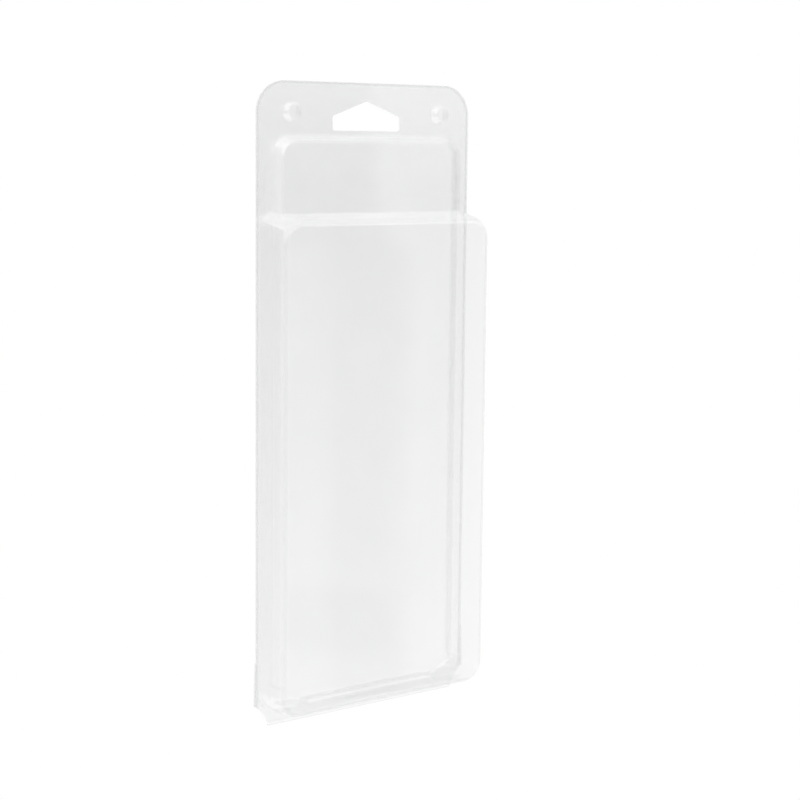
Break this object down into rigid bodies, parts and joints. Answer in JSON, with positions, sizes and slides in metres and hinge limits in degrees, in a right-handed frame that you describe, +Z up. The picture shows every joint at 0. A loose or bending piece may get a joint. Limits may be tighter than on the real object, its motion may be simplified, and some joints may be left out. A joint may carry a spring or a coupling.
{
  "type": "clamshell blister box",
  "caption": "Clear thermoformed clamshell pack with a deep box, a shallow header and a chevron hang hole, folded at its foot so that its back swings open.",
  "frame": {"origin": "apex of the chevron hang hole, on the parting plane between the two shells, where a peg bears", "axes": "+Z up from the fold to the hang hole; -Y out of the front of the box; +X to the right, seen from the front"},
  "size_m": [0.1018, 0.0183, 0.2506],
  "materials": {
    "clear_film": "clear, glossy"
  },
  "bodies": {
    "front": {"front_shell": "clear_film"},
    "back": {"back_shell": "clear_film"}
  },
  "joints": [
    {"name": "fold_hinge", "type": "hinge", "parent": "front", "child": "back", "pos_m": [0, 0, -0.243], "axis": [-1, 0, 0], "range_deg": [0, 180]}
  ]
}
